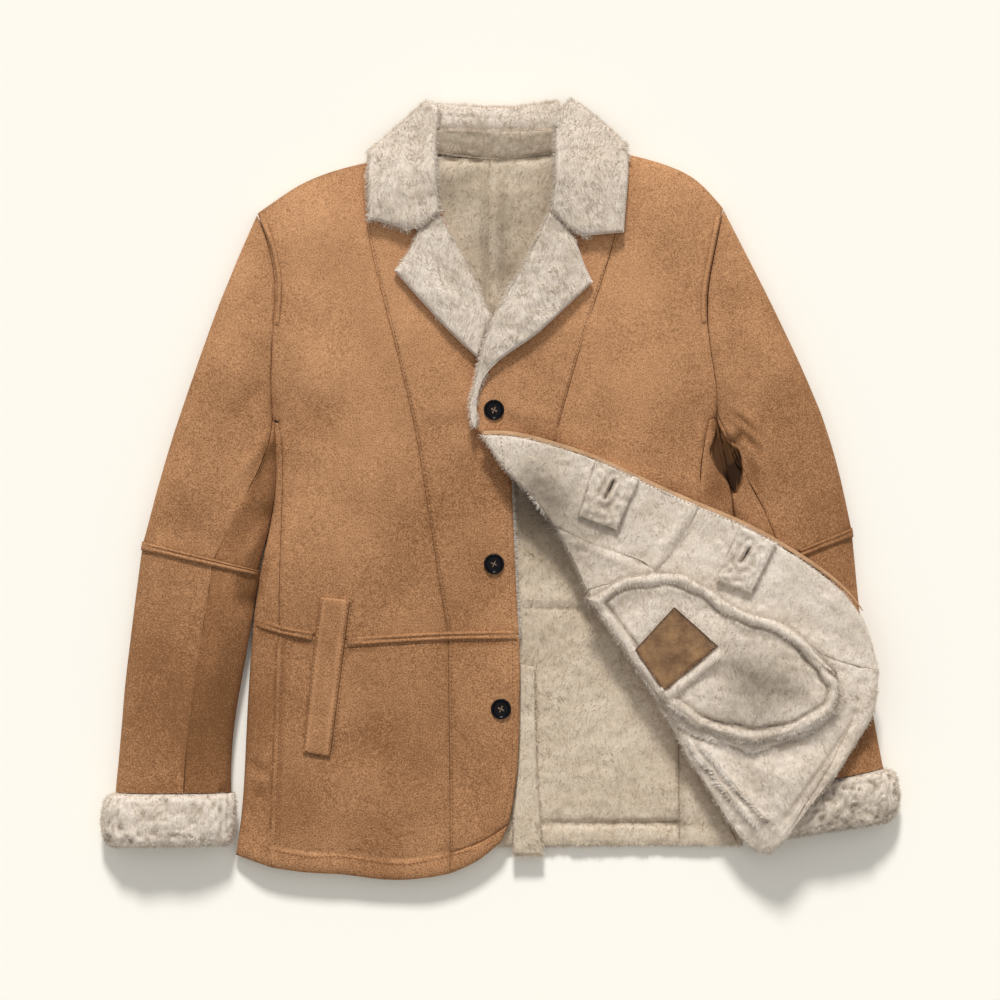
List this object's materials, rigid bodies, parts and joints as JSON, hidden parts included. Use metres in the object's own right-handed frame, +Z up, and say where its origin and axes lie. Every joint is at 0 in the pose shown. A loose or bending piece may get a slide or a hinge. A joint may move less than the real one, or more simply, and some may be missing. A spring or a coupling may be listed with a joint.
{
  "type": "shearling coat",
  "caption": "Short notch-collar shearling jacket laid flat on its back, suede side out, one lower front thrown back over its sleeve to show the woolly inside.",
  "frame": {"origin": "middle of the outline, on the surface that the coat lies on", "axes": "+Z up from that surface, +Y towards the collar, +X towards the thrown-back front (the wearer's left)"},
  "size_m": [0.8026, 0.7816, 0.0572],
  "materials": {
    "suede": "tan sheepskin suede with a short brushed nap",
    "wool": "clipped natural sheep's wool, off-white",
    "patch_leather": "plain brown leather patch",
    "cut_edge": "pale cut edge of the hide, topstitched",
    "button": "polished black-brown four-hole coat button"
  },
  "bodies": {
    "root": {"back_upper_left": "wool", "back_upper_right": "wool", "back_lower_left": "wool", "back_lower_right": "wool", "vent_underlap": "wool", "left_side_upper": "suede", "left_side_lower": "suede", "right_side_upper": "suede", "right_side_lower": "wool", "left_front_side_upper": "suede", "left_front_centre_upper": "suede", "left_front_side_lower": "suede", "left_front_centre_lower": "suede", "right_front_side_upper": "suede", "right_front_centre_upper": "suede", "right_front_lower": "suede", "left_sleeve_outer_upper": "suede", "left_sleeve_inner_upper": "suede", "left_sleeve_outer_lower": "suede", "left_sleeve_inner_lower": "suede", "left_elbow_welt": "suede", "right_sleeve_outer_upper": "suede", "right_sleeve_inner_upper": "suede", "right_sleeve_outer_lower": "suede", "right_sleeve_inner_lower": "suede", "right_elbow_welt": "suede", "left_cuff": "wool", "right_cuff": "wool", "left_waist_welt_side": "suede", "left_waist_welt_centre": "suede", "left_armhole_piping": "suede", "right_armhole_piping": "suede", "left_pocket_welt": "suede", "collar_left": "wool", "collar_right": "wool", "collar_back": "wool", "collar_stand": "wool", "lapel_left": "wool", "lapel_right": "wool", "flap_centre_upper": "wool", "flap_centre_lower": "wool", "flap_side_upper": "wool", "flap_side_lower": "wool", "flap_edge": "cut_edge", "pocket_bag": "wool", "leather_patch": "patch_leather", "pocket_bag_fold": "wool", "buttonhole_patch_upper": "wool", "buttonhole_patch_lower": "wool", "button_top": "button", "button_middle": "button", "button_lower": "button"}
  },
  "joints": []
}
